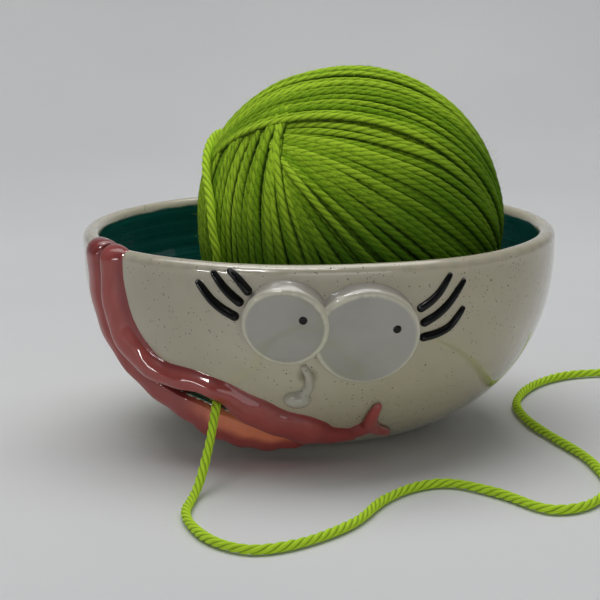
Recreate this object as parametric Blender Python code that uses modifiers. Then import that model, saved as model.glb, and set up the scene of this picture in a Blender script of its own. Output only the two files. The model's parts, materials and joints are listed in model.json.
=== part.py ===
"""A hand-thrown yarn bowl with a goofy applied-clay face, its ball of yarn and the strand that
leaves through the mouth. Metres, +Z up. The origin is the centre of the flat base, on the table,
and the face looks along -Y. Azimuth is measured from -Y, positive towards +X."""

import math

import bmesh
import bpy
from mathutils import Vector

# Bowl
RIM_RADIUS = 0.090          # outer radius, widest just under the rim
RIM_HEIGHT = 0.078
WALL = 0.0064               # thickness at the rim, rounded over on top
FLOOR = 0.0072              # thickness of clay under the ball
BELLY_DEPTH = 0.078         # depth of the outer curve below the shoulder, cut flat at the table
FULLNESS = 2.33             # exponent of the superellipse: 2 is an ellipse, more is fuller
SHOULDER = RIM_HEIGHT - WALL / 2

# Clearances
SEAM = 0.0003               # gap between an applied piece and whatever it sits on
YARN_GAP = 0.0006           # gap between the yarn and its neighbours
TABLE_GAP = 0.0002          # the strand on the table hovers by this much
OVERRUN = 0.004             # how far a cutter passes the surface that it cuts
KNIFE_REACH = 0.018         # how far the slit's cutter reaches in from the outer wall

# Yarn
YARN_RADIUS = 0.00175
BALL_X = 0.0122             # the ball sits a little to the right of the bowl's axis
BALL_RADIUS = 0.0579
BALL_MIDDLE = 0.081         # height of the ball's widest level
BALL_TOP = 0.1375
BALL_BOTTOM = 0.0086

# The slack: off the ball's left shoulder, down its side, in under it, to the turn that faces
# the mouth
SLACK = [
    (-0.0345, 0.0240, 0.1105), (-0.0402, 0.0105, 0.1128), (-0.0425, -0.0040, 0.1090),
    (-0.0423, -0.0185, 0.0995), (-0.0407, -0.0295, 0.0895), (-0.0390, -0.0345, 0.0800),
    (-0.0376, -0.0360, 0.0700),
    (-0.0405, -0.0300, 0.0500), (-0.0450, -0.0120, 0.0385), (-0.0460, 0.0100, 0.0310),
    (-0.0450, 0.0240, 0.0268), (-0.0412, 0.0300, 0.0252), (-0.0380, 0.0270, 0.0250),
]

# The strand's straight run, from beside the ball out through the mouth along -Y
RUN_X = -0.0373
RUN_HEIGHT = 0.0250
RUN_START = 0.0220
RUN_END = -0.0660

# Over the lower lip and down to the table, then across it
FALLING = [
    (-0.0377, -0.0745, 0.0228), (-0.0390, -0.0840, 0.0160), (-0.0412, -0.0945, 0.0080),
    (-0.0430, -0.1020, 0.0035),
]
ON_TABLE = [
    (-0.0445, -0.110), (-0.0458, -0.126), (-0.0425, -0.142), (-0.0345, -0.158), (-0.0220, -0.166),
    (-0.0060, -0.158), (0.0100, -0.138), (0.0205, -0.113), (0.0330, -0.097), (0.0460, -0.094),
    (0.0610, -0.107), (0.0750, -0.125), (0.0890, -0.120), (0.0985, -0.098), (0.0965, -0.065),
    (0.0880, -0.036), (0.0805, -0.009), (0.0788, 0.020), (0.0880, 0.048), (0.1040, 0.066),
    (0.1250, 0.072),
]

# Face: (azimuth in degrees, height) of each centre
LEFT_EYE = (-7.7, 0.0586)
LEFT_EYE_RADIUS = 0.0147
RIGHT_EYE = (10.0, 0.0543)
RIGHT_EYE_RADIUS = 0.0180
EYE_THICKNESS = 0.0048
LEFT_PUPIL = (-3.8, 0.0608)
RIGHT_PUPIL = (16.2, 0.0568)
PUPIL_RADIUS = 0.0015
PUPIL_THICKNESS = 0.0009

# The line between the lips, from the rim down the slit, along the mouth and on to its corner:
# (azimuth, height, half opening, upper lip's half width and thickness, lower lip's the same)
MOUTH_LINE = [
    (-59.8, 0.0750, 0.0023, 0.0056, 0.0046, 0.0058, 0.0048),
    (-59.6, 0.0620, 0.0023, 0.0056, 0.0050, 0.0050, 0.0044),
    (-58.6, 0.0500, 0.0023, 0.0055, 0.0050, 0.0042, 0.0038),
    (-56.0, 0.0405, 0.0023, 0.0052, 0.0050, 0.0036, 0.0034),
    (-51.4, 0.0336, 0.0024, 0.0046, 0.0046, 0.0038, 0.0036),
    (-45.6, 0.0300, 0.0026, 0.0040, 0.0044, 0.0050, 0.0044),
    (-39.5, 0.0288, 0.0030, 0.0036, 0.0042, 0.0066, 0.0054),
    (-34.0, 0.0276, 0.0039, 0.0036, 0.0038, 0.0082, 0.0062),
    (-29.0, 0.0248, 0.0039, 0.0042, 0.0038, 0.0090, 0.0066),
    (-25.0, 0.0214, 0.0022, 0.0050, 0.0048, 0.0092, 0.0068),
    (-21.0, 0.0188, 0.0006, 0.0063, 0.0050, 0.0088, 0.0068),
    (-15.0, 0.0159, 0.0003, 0.0063, 0.0050, 0.0076, 0.0062),
    (-8.5, 0.0126, 0.0003, 0.0058, 0.0050, 0.0048, 0.0046),
    (-2.5, 0.0101, 0.0003, 0.0050, 0.0044, 0.0022, 0.0024),
    (4.0, 0.0088, 0.0003, 0.0048, 0.0040, 0.0, 0.0),
    (9.5, 0.0090, 0.0003, 0.0042, 0.0034, 0.0, 0.0),
    (12.5, 0.0094, 0.0003, 0.0036, 0.0030, 0.0, 0.0),
]
SLIT_STATIONS = 10          # the wall is cut through as far as this station
LOWER_LIP_STATIONS = 14

# Coils of clay laid on the wall: (azimuth, height, half width, thickness) down the middle
MOUTH_CORNER = [
    (15.5, 0.0250, 0.0018, 0.0020), (14.8, 0.0202, 0.0026, 0.0030),
    (16.0, 0.0150, 0.0030, 0.0032), (23.4, 0.0110, 0.0020, 0.0024),
]
NOSE = [
    (-4.3, 0.0418, 0.0017, 0.0018), (-3.0, 0.0375, 0.0021, 0.0026),
    (-3.3, 0.0325, 0.0030, 0.0038), (-6.2, 0.0288, 0.0044, 0.0052),
]

# Eyelashes: (azimuth, height) from the eye outwards
LASHES = {
    "left_lash_upper": [(-16.3, 0.0690), (-18.4, 0.0728), (-20.4, 0.0760)],
    "left_lash_middle": [(-17.9, 0.0644), (-21.4, 0.0690), (-24.2, 0.0745)],
    "left_lash_lower": [(-18.6, 0.0590), (-24.0, 0.0635), (-28.0, 0.0707)],
    "right_lash_upper": [(22.3, 0.0614), (26.4, 0.0655), (29.7, 0.0724)],
    "right_lash_middle": [(23.2, 0.0560), (28.6, 0.0606), (33.4, 0.0697)],
    "right_lash_lower": [(23.2, 0.0508), (29.8, 0.0530), (33.6, 0.0598)],
}
LASH_HALF_WIDTH = 0.0013
LASH_THICKNESS = 0.0012

SHARP_ANGLE = math.radians(50)

# Colours (linear) with roughness
CREAM_GLAZE = ("cream_glaze", (0.50, 0.47, 0.38), 0.15)
WHITE_GLAZE = ("white_glaze", (0.55, 0.55, 0.55), 0.15)
BLACK_GLAZE = ("black_glaze", (0.006, 0.006, 0.007), 0.12)
PINK_GLAZE = ("pink_glaze", (0.45, 0.10, 0.09), 0.12)
GREEN_WOOL = ("green_wool", (0.22, 0.44, 0.02), 0.90)


def clear_scene():
    for obj in list(bpy.data.objects):
        bpy.data.objects.remove(obj, do_unlink=True)


def new_collection(name):
    collection = bpy.data.collections.new(name)
    bpy.context.scene.collection.children.link(collection)
    return collection


def glaze(recipe):
    """The material of this (name, colour, roughness), made once and shared."""
    name, colour, roughness = recipe
    material = bpy.data.materials.get(name)
    if material is None:
        material = bpy.data.materials.new(name)
        material.use_nodes = True
        shader = material.node_tree.nodes["Principled BSDF"]
        shader.inputs["Base Color"].default_value = (*colour, 1.0)
        shader.inputs["Roughness"].default_value = roughness
        shader.inputs["Metallic"].default_value = 0.0
    return material


def add_mesh(name, build, collection, recipe=None):
    """A new object from a bmesh with its faces turned outwards."""
    bmesh.ops.recalc_face_normals(build, faces=build.faces)
    if build.calc_volume(signed=True) < 0:
        bmesh.ops.reverse_faces(build, faces=build.faces)
    mesh = bpy.data.meshes.new(name)
    build.to_mesh(mesh)
    build.free()
    mesh.shade_smooth()
    mesh.set_sharp_from_angle(angle=SHARP_ANGLE)
    obj = bpy.data.objects.new(name, mesh)
    collection.objects.link(obj)
    if recipe:
        mesh.materials.append(glaze(recipe))
    return obj


def hide_cutter(cutter):
    cutter.hide_render = True
    cutter.display_type = "WIRE"


def cut(obj, cutter):
    hide_cutter(cutter)
    boolean = obj.modifiers.new("cut_" + cutter.name, "BOOLEAN")
    boolean.operation = "DIFFERENCE"
    boolean.object = cutter


def wall_radius(height):
    """Radius of the bowl's outer wall at this height; the wall runs straight up above the shoulder."""
    depth = max(SHOULDER - height, 0.0) / BELLY_DEPTH
    return RIM_RADIUS * (1 - depth**FULLNESS) ** (1 / FULLNESS)


def wall_normal(height):
    """(outward, downward) parts of the unit normal of the outer wall."""
    depth = max(SHOULDER - height, 0.0) / BELLY_DEPTH
    outward = (wall_radius(height) / RIM_RADIUS) ** (FULLNESS - 1) / RIM_RADIUS
    downward = depth ** (FULLNESS - 1) / BELLY_DEPTH
    length = math.hypot(outward, downward)
    return outward / length, downward / length


def polar(azimuth, radius, height):
    return Vector((radius * math.sin(azimuth), -radius * math.cos(azimuth), height))


def on_wall(azimuth, height, lift):
    """The point lifted this far off the outer wall, along the wall's normal. Azimuth in radians."""
    outward, downward = wall_normal(height)
    return polar(azimuth, wall_radius(height) + lift * outward, height - lift * downward)


def beside(azimuth, height, across, up):
    """(azimuth, height) of the place on the wall this far sideways and this far up the slope."""
    outward, _ = wall_normal(height)
    return azimuth + across / wall_radius(height), height + up * outward


def smooth_line(points, steps):
    """Catmull-Rom curve through points of any dimension, with this many steps between each two."""
    ends = [2 * a - b for a, b in zip(points[0], points[1])]
    tail = [2 * a - b for a, b in zip(points[-1], points[-2])]
    padded = [ends, *points, tail]
    line = []
    for p0, p1, p2, p3 in zip(padded, padded[1:], padded[2:], padded[3:]):
        for step in range(steps):
            t = step / steps
            line.append([
                b + 0.5 * t * (c - a + t * (2 * a - 5 * b + 4 * c - d + t * (3 * (b - c) + d - a)))
                for a, b, c, d in zip(p0, p1, p2, p3)
            ])
    line.append(list(points[-1]))
    return line


def heading(line, index):
    """Unit (across, up) direction of a line of (azimuth in radians, height) on the wall."""
    before = line[max(index - 1, 0)]
    after = line[min(index + 1, len(line) - 1)]
    outward, _ = wall_normal(line[index][1])
    across = (after[0] - before[0]) * wall_radius(line[index][1])
    up = (after[1] - before[1]) / outward
    length = math.hypot(across, up)
    return across / length, up / length


def loft(build, rings):
    """Joins equal rings of points into a closed tube with flat ends."""
    made = [[build.verts.new(point) for point in ring] for ring in rings]
    count = len(made[0])
    for lower, upper in zip(made, made[1:]):
        for i in range(count):
            j = (i + 1) % count
            build.faces.new((lower[i], lower[j], upper[j], upper[i]))
    build.faces.new(made[0])
    build.faces.new(made[-1])


def radians_first(points):
    return [(math.radians(point[0]), *point[1:]) for point in points]


def rounded_ends(line, steps=2):
    """A line of (azimuth, height, half width, thickness) with a round end added at both ends."""
    result = list(line)
    for end, inner in ((0, 1), (-1, -2)):
        azimuth, height, half_width, thickness = line[end]
        away = heading(line[:2][::-1] if end == 0 else line[-2:], 1)
        added = []
        for step in range(1, steps + 1):
            angle = math.radians(78) * step / steps
            reach = 0.8 * half_width * math.sin(angle)
            place = beside(azimuth, height, away[0] * reach, away[1] * reach)
            added.append([*place, half_width * math.cos(angle), thickness * math.cos(angle)])
        result = added[::-1] + result if end == 0 else result + added
    return result


def coil_section(azimuth, height, half_width, thickness, direction, back, arc_steps=8, back_steps=4):
    """A half-round section on a flat back that follows the wall this far off it."""
    across, up = -direction[1], direction[0]
    section = []
    for step in range(arc_steps + 1):
        angle = math.pi * step / arc_steps
        lift = max(back, SEAM + thickness * math.sin(angle)) if 0 < step < arc_steps else back
        section.append((half_width * math.cos(angle), lift))
    for step in range(1, back_steps):
        section.append((half_width * (2 * step / back_steps - 1), back))
    ring = []
    for side, lift in section:
        ring.append(on_wall(*beside(azimuth, height, across * side, up * side), lift))
    return ring


def coil(name, line, collection, recipe=None, back=SEAM):
    """A coil of clay laid along a line on the wall, rounded at both ends."""
    line = rounded_ends(line)
    build = bmesh.new()
    rings = []
    for index, place in enumerate(line):
        rings.append(coil_section(*place, heading(line, index), back))
    loft(build, rings)
    return add_mesh(name, build, collection, recipe)


def disc(name, centre, radius, back, face, collection, recipe=None, edge=0.0012, segments=28):
    """A round slab of clay draped on the wall, from `back` to `face` off it, with a rounded edge."""
    edge = min(edge, (face - back) * 0.8)
    profile = [(radius * part, back) for part in (0.4, 0.75, 1.0)]
    for step in range(4):
        angle = math.radians(30 * step)
        profile.append((radius - edge * (1 - math.cos(angle)), face - edge * (1 - math.sin(angle))))
    profile += [(radius * part, face) for part in (0.72, 0.4)]
    azimuth, height = math.radians(centre[0]), centre[1]
    build = bmesh.new()
    rings = []
    for reach, lift in profile:
        turns = [2 * math.pi * step / segments for step in range(segments)]
        places = [beside(azimuth, height, reach * math.cos(a), reach * math.sin(a)) for a in turns]
        rings.append([on_wall(*place, lift) for place in places])
    loft(build, rings)
    return add_mesh(name, build, collection, recipe)


def bowl_profile():
    """(radius, height) down the outer side, across the base and up the inner side, then the rim."""
    outer_steps, inner_steps, rim_steps = 12, 10, 6
    floor_depth = SHOULDER - FLOOR
    base_turn = math.asin((SHOULDER / BELLY_DEPTH) ** (FULLNESS / 2))
    profile = []
    for step in range(outer_steps + 1):
        turn = base_turn * step / outer_steps
        radius = RIM_RADIUS * math.cos(turn) ** (2 / FULLNESS)
        profile.append((radius, SHOULDER - BELLY_DEPTH * math.sin(turn) ** (2 / FULLNESS)))
    profile[-1] = (profile[-1][0], 0.0)
    profile.append((0.0, 0.0))
    for step in range(inner_steps + 1):
        turn = math.pi / 2 * (1 - step / inner_steps)
        radius = (RIM_RADIUS - WALL) * max(math.cos(turn), 0.0) ** (2 / FULLNESS)
        profile.append((radius, SHOULDER - floor_depth * math.sin(turn) ** (2 / FULLNESS)))
    for step in range(1, rim_steps):
        turn = math.pi * step / rim_steps
        radius = RIM_RADIUS - WALL / 2 - WALL / 2 * math.cos(turn)
        profile.append((radius, SHOULDER + WALL / 2 * math.sin(turn)))
    profile.append(profile[0])
    return profile


def turned(name, profile, collection, recipe, steps=64):
    """A profile of (radius, height) turned about the Z axis."""
    build = bmesh.new()
    verts = [build.verts.new((radius, 0.0, height)) for radius, height in profile[:-1]]
    for start, end in zip(verts, verts[1:] + verts[:1]):
        build.edges.new((start, end))
    mesh = bpy.data.meshes.new(name)
    build.to_mesh(mesh)
    build.free()
    obj = bpy.data.objects.new(name, mesh)
    collection.objects.link(obj)
    mesh.materials.append(glaze(recipe))
    screw = obj.modifiers.new("turned", "SCREW")
    screw.axis = "Z"
    screw.steps = steps
    screw.render_steps = steps
    screw.use_merge_vertices = True
    screw.merge_threshold = 0.00001
    screw.use_smooth_shade = True
    return obj


def knife_azimuth(azimuth):
    """The knife points at the bowl's axis along the slit and turns to point along Y at the mouth."""
    slit, mouth = math.radians(-50), math.radians(-36)
    share = min(max((azimuth - mouth) / (slit - mouth), 0.0), 1.0)
    return azimuth * share


def slit_cutter(collection):
    """The slit and the mouth, cut through the wall with level strokes."""
    above_rim = (MOUTH_LINE[0][0], RIM_HEIGHT + OVERRUN, *MOUTH_LINE[0][2:])
    line = smooth_line(radians_first([above_rim] + MOUTH_LINE[:SLIT_STATIONS + 1]), 2)
    outside, inside = 2 * OVERRUN, -KNIFE_REACH
    build = bmesh.new()
    rings = []
    for index, (azimuth, height, half_width, *_) in enumerate(line):
        along = heading(line, index)
        ring = []
        for side, reach in ((1, outside), (-1, outside), (-1, inside), (1, inside)):
            offset = side * half_width
            place = beside(azimuth, height, -along[1] * offset, along[0] * offset)
            ring.append(on_wall(*place, 0.0) + polar(knife_azimuth(azimuth), reach, 0.0))
        rings.append(ring)
    loft(build, rings)
    return add_mesh("slit_cutter", build, collection)


def add_bowl(parts, cutters):
    bowl = turned("bowl_body", bowl_profile(), parts, CREAM_GLAZE)
    cut(bowl, slit_cutter(cutters))


def lip_line(stations, side, width_index):
    """The middle of the lip above (side 1) or below (side -1) the mouth line."""
    line = smooth_line(radians_first(MOUTH_LINE[:stations]), 3)
    middle = []
    for index, place in enumerate(line):
        across, up = heading(line, index)
        half_width, thickness = place[width_index:width_index + 2]
        offset = side * (place[2] + half_width)
        middle.append((*beside(place[0], place[1], -up * offset, across * offset), half_width, thickness))
    return middle


def add_lips(parts, cutters):
    """Both lips, and the forked corner, which is notched to fit round the upper lip's end."""
    upper = lip_line(len(MOUTH_LINE), 1, 3)
    coil("upper_lip", upper, parts, PINK_GLAZE)
    coil("lower_lip", lip_line(LOWER_LIP_STATIONS, -1, 5), parts, PINK_GLAZE)
    corner = coil("mouth_corner", smooth_line(radians_first(MOUTH_CORNER), 3), parts, PINK_GLAZE)
    upper_end = [(*place[:2], place[2] + SEAM, place[3] + 2 * SEAM) for place in upper[-6:]]
    cut(corner, coil("lip_end_notch", upper_end, cutters, back=-OVERRUN / 2))


def add_eyes(parts, cutters):
    """Two slabs; the left one laps the right one, which is notched to fit round it."""
    face = SEAM + EYE_THICKNESS
    disc("left_eye", LEFT_EYE, LEFT_EYE_RADIUS, SEAM, face, parts, WHITE_GLAZE)
    right_eye = disc("right_eye", RIGHT_EYE, RIGHT_EYE_RADIUS, SEAM, face, parts, WHITE_GLAZE)
    notch = disc("eye_notch", LEFT_EYE, LEFT_EYE_RADIUS + SEAM, -OVERRUN, face + OVERRUN, cutters)
    cut(right_eye, notch)


def add_pupils(parts):
    """Small round studs on the eyes, pointing along the wall's normal."""
    middle = EYE_THICKNESS + 2 * SEAM + PUPIL_THICKNESS / 2
    for name, (azimuth, height) in (("left_pupil", LEFT_PUPIL), ("right_pupil", RIGHT_PUPIL)):
        build = bmesh.new()
        bmesh.ops.create_cone(build, cap_ends=True, segments=16, depth=PUPIL_THICKNESS,
                              radius1=PUPIL_RADIUS, radius2=0.8 * PUPIL_RADIUS)
        pupil = add_mesh(name, build, parts, BLACK_GLAZE)
        outward, downward = wall_normal(height)
        normal = polar(math.radians(azimuth), outward, -downward)
        pupil.location = on_wall(math.radians(azimuth), height, middle)
        pupil.rotation_euler = normal.to_track_quat("Z", "Y").to_euler()


def add_lashes(parts):
    for name, points in LASHES.items():
        widths = (LASH_HALF_WIDTH, LASH_HALF_WIDTH, 0.75 * LASH_HALF_WIDTH)
        line = [(*place, width, LASH_THICKNESS) for place, width in zip(points, widths)]
        coil(name, smooth_line(radians_first(line), 2), parts, BLACK_GLAZE)


def add_nose(parts):
    coil("nose", smooth_line(radians_first(NOSE), 3), parts, CREAM_GLAZE)


def add_ball(parts):
    """The wound ball, a plain egg of revolution about its own upright axis."""
    build = bmesh.new()
    bmesh.ops.create_uvsphere(build, u_segments=28, v_segments=16, radius=1.0)
    for vert in build.verts:
        half_height = BALL_TOP - BALL_MIDDLE if vert.co.z > 0 else BALL_MIDDLE - BALL_BOTTOM
        vert.co.x *= BALL_RADIUS
        vert.co.y *= BALL_RADIUS
        vert.co.z *= half_height
    ball = add_mesh("yarn_ball", build, parts, GREEN_WOOL)
    ball.location = (BALL_X, 0.0, BALL_MIDDLE)


def strand(name, points, collection, steps=3):
    """A length of yarn along a smooth curve through these points."""
    curve = bpy.data.curves.new(name, "CURVE")
    curve.dimensions = "3D"
    curve.bevel_depth = YARN_RADIUS
    curve.bevel_resolution = 2
    curve.use_fill_caps = True
    line = smooth_line(points, steps)
    spline = curve.splines.new("POLY")
    spline.points.add(len(line) - 1)
    for point, place in zip(spline.points, line):
        point.co = (*place, 1.0)
    curve.materials.append(glaze(GREEN_WOOL))
    obj = bpy.data.objects.new(name, curve)
    collection.objects.link(obj)
    return obj


def add_lead_strand(parts):
    """From the ball's left shoulder down beside it, in a slack turn that ends facing the mouth."""
    end = (RUN_X, RUN_START + 2 * YARN_GAP, RUN_HEIGHT)
    strand("lead_strand", SLACK + [end], parts)


def add_working_strand(parts):
    """Straight out through the mouth, over the lower lip and away across the table."""
    run_steps = 4
    run = []
    for step in range(run_steps + 1):
        run.append((RUN_X, RUN_START + (RUN_END - RUN_START) * step / run_steps, RUN_HEIGHT))
    table = [(x, y, YARN_RADIUS + TABLE_GAP) for x, y in ON_TABLE]
    strand("working_strand", run + FALLING + table, parts)


def build_yarn_bowl():
    clear_scene()
    parts = new_collection("yarn_bowl")
    cutters = new_collection("cutters")
    add_bowl(parts, cutters)
    add_eyes(parts, cutters)
    add_pupils(parts)
    add_lashes(parts)
    add_nose(parts)
    add_lips(parts, cutters)
    add_ball(parts)
    add_lead_strand(parts)
    add_working_strand(parts)


build_yarn_bowl()
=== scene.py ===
import json
import math

import bmesh
import bpy
import numpy as np
from mathutils import Matrix, Vector


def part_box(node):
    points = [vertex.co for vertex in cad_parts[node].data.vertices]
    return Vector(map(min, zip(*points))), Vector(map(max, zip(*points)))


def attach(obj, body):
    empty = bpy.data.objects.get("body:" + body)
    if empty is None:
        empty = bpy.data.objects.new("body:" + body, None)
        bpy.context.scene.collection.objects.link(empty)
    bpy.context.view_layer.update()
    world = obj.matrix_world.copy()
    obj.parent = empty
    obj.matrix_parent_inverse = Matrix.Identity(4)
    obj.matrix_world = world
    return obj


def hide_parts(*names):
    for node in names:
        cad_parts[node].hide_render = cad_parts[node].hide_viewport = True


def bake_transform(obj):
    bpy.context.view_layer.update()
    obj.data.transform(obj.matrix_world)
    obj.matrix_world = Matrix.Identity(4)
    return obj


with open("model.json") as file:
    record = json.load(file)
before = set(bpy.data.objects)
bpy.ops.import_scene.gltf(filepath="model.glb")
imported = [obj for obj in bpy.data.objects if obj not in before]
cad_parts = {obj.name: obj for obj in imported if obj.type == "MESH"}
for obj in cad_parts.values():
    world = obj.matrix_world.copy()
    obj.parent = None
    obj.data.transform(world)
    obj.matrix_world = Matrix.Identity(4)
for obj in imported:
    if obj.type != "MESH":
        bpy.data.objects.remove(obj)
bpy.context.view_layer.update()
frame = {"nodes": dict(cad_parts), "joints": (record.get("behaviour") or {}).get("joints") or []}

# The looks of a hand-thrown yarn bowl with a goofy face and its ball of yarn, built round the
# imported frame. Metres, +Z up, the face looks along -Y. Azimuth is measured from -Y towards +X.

# Bowl: the outline that the CAD bowl was turned from
RIM_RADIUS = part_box("bowl_body")[1].x
RIM_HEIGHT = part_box("bowl_body")[1].z
WALL = 0.0064
RIM_LENGTH = math.pi * WALL / 2     # over the half-round rim
FLOOR = 0.0072
BELLY_DEPTH = 0.078
FULLNESS = 2.33
SHOULDER = RIM_HEIGHT - WALL / 2
BOWL_GRAIN = 0.00095                # size of the finest feature of the thrown wall
UNROLL_BATCH = 4000                 # points compared with the outline at once, to save memory

# Applied clay
SINK = 0.0016               # how far a piece's underside goes into the wall
END_RINGS = 2               # rings that round off each end of a CAD coil
COIL_SIDES = 12             # points in each ring of a CAD coil
TOP_END = (0.0, 0.0, 10.0)  # far above: a coil followed from here starts at its upper end
LINE_STEP = 0.0008          # between sections of a lip
LIP_GRAIN = 0.00045         # size of the finest feature of each kind of modelled clay
EYE_GRAIN = 0.0004
NOSE_GRAIN = 0.0004
LASH_GRAIN = 0.00025
SLOPE_BACK = 0.24           # how far an eye's upper side slopes back, a share of its thickness
EYE_EDGE = 0.0017           # radius of the rounded edge of an eye
BEAD_HEIGHT = 0.0006        # of a pupil above the eye's face
LASH_HALF_WIDTH = 0.0016
LASH_THICKNESS = 0.0020
NOSE_TIP = (0.0050, 0.0040, 0.0032)     # half its width, depth and height
SLIT_ENDS = math.radians(-43)           # azimuth where the slit begins to widen,
MOUTH_OPENS = math.radians(-35)         # where it's the open mouth,
YARN_LEAVES = math.radians(-29)         # where the yarn comes out of it
UNDER_NOSE = math.radians(-13)          # and where it runs under the nose

# Yarn
BALL_MIDDLE = np.array(next(j["pos_m"] for j in frame["joints"] if j["name"] == "ball_turn"))
BALL_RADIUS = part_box("yarn_ball")[1].x - BALL_MIDDLE[0]
BALL_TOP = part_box("yarn_ball")[1].z
BALL_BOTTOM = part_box("yarn_ball")[0].z
STRAND_JOIN = Vector((-0.0373, 0.0226, 0.0250))     # where the strand's two CAD lengths meet
STRAND_SIDES = 8            # points in each ring of a CAD strand
STRAND_STEP = 0.0006        # between the points of the loose strand
YARN_RADIUS = 0.00175
WOUND_RADIUS = 0.00164      # the yarn pulled tight round the ball
PLIES = 4
TWIST_PITCH = 0.0165        # length of one full turn of the plies
# Painted light: the loose strand, the same yarn as the ball, is drawn paler than the wound turns.
LOOSE_PAINTED_LIGHT = 1.4           # the loose strand is paler than any wound turn, which are 0 to 1
FIBRE_COUNT = 9000
FIBRE_LENGTH = 0.0030
FIBRE_RADIUS = 0.00005
FIBRE_RINGS = 4
FIBRE_SIDES = 3


# ---------------- mesh helpers

def mesh_object(name, points, faces):
    """A new smooth-shaded object in the scene from points and faces."""
    mesh = bpy.data.meshes.new(name)
    mesh.from_pydata(np.asarray(points).tolist(), [], faces)
    mesh.shade_smooth()
    obj = bpy.data.objects.new(name, mesh)
    bpy.context.scene.collection.objects.link(obj)
    return obj


def ring_faces(rings, sides, start=0, closed=False):
    """Faces of a tube whose rings of points begin at `start`: joined round to its own beginning if
    it's closed, or else with flat ends."""
    row = np.arange(rings if closed else rings - 1)[:, None]
    after = (row + 1) % rings
    i = np.arange(sides)
    j = (i + 1) % sides
    corners = [row * sides + i, row * sides + j, after * sides + j, after * sides + i]
    faces = (start + np.stack(corners, axis=-1).reshape(-1, 4)).tolist()
    if not closed:
        faces.append((start + i[::-1]).tolist())
        faces.append((start + (rings - 1) * sides + i).tolist())
    return faces


def read_vectors(data, name):
    """One vector an element of the mesh's data, as rows."""
    values = np.empty(len(data) * 3, np.float32)
    data.foreach_get(name, values)
    return values.reshape(-1, 3).astype(float)


def points_of(obj):
    return read_vectors(obj.data.vertices, "co")


def normals_of(obj):
    return read_vectors(obj.data.vertex_normals, "vector")


def move_points(obj, points):
    obj.data.vertices.foreach_set("co", points.astype(np.float32).ravel())
    obj.data.update()


def store(obj, name, values):
    """Keeps one number a point on the mesh, for its material to read."""
    attribute = obj.data.attributes.new(name, "FLOAT", "POINT")
    attribute.data.foreach_set("value", np.asarray(values, np.float32))


def store_evenly(obj, **values):
    """Keeps the same number at every point of the mesh."""
    for name, value in values.items():
        store(obj, name, np.full(len(obj.data.vertices), value))


def apply_modifier(obj, kind, **settings):
    modifier = obj.modifiers.new(kind, kind)
    for name, value in settings.items():
        setattr(modifier, name, value)
    graph = bpy.context.evaluated_depsgraph_get()
    mesh = bpy.data.meshes.new_from_object(obj.evaluated_get(graph))
    obj.modifiers.clear()
    obj.data = mesh


def smoothstep(low, high, values):
    """0 at low, 1 at high, smooth between."""
    t = np.clip((values - low) / (high - low), 0.0, 1.0)
    return t * t * (3 - 2 * t)


def near(values, middle, width):
    """1 at the middle, fading smoothly to 0 over about twice the width on each side."""
    return np.exp(-((values - middle) / width) ** 2)


def unit(vectors):
    return vectors / np.linalg.norm(vectors, axis=-1, keepdims=True)


# ---------------- lines

def gone_along(line):
    """How far along the line each of its points is."""
    return np.concatenate([[0], np.cumsum(np.linalg.norm(np.diff(line, axis=0), axis=1))])


def line_length(line):
    return gone_along(line)[-1]


def smooth_line(points, steps):
    """Catmull-Rom curve through points, with this many steps between each two."""
    points = np.asarray(points, float)
    padded = np.vstack([2 * points[0] - points[1], points, 2 * points[-1] - points[-2]])
    t = (np.arange(steps) / steps)[:, None]
    pieces = []
    for a, b, c, d in zip(padded, padded[1:], padded[2:], padded[3:]):
        bend = 2 * a - 5 * b + 4 * c - d + t * (3 * (b - c) + d - a)
        pieces.append(b + 0.5 * t * (c - a + t * bend))
    return np.vstack([*pieces, points[-1:]])


def evenly(line, count):
    """The line resampled at this many equal steps of its length."""
    gone = gone_along(line)
    at = np.linspace(0, gone[-1], count)
    return np.stack([np.interp(at, gone, column) for column in line.T], axis=-1)


def softened(line, reach):
    """The line averaged with its neighbours on both sides, its ends kept."""
    padded = np.pad(line, ((reach, reach), (0, 0)), mode="reflect", reflect_type="odd")
    weights = np.hanning(2 * reach + 3)[1:-1]
    weights /= weights.sum()
    return np.stack([np.convolve(column, weights, "valid") for column in padded.T], axis=-1)


# ---------------- node materials

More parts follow.
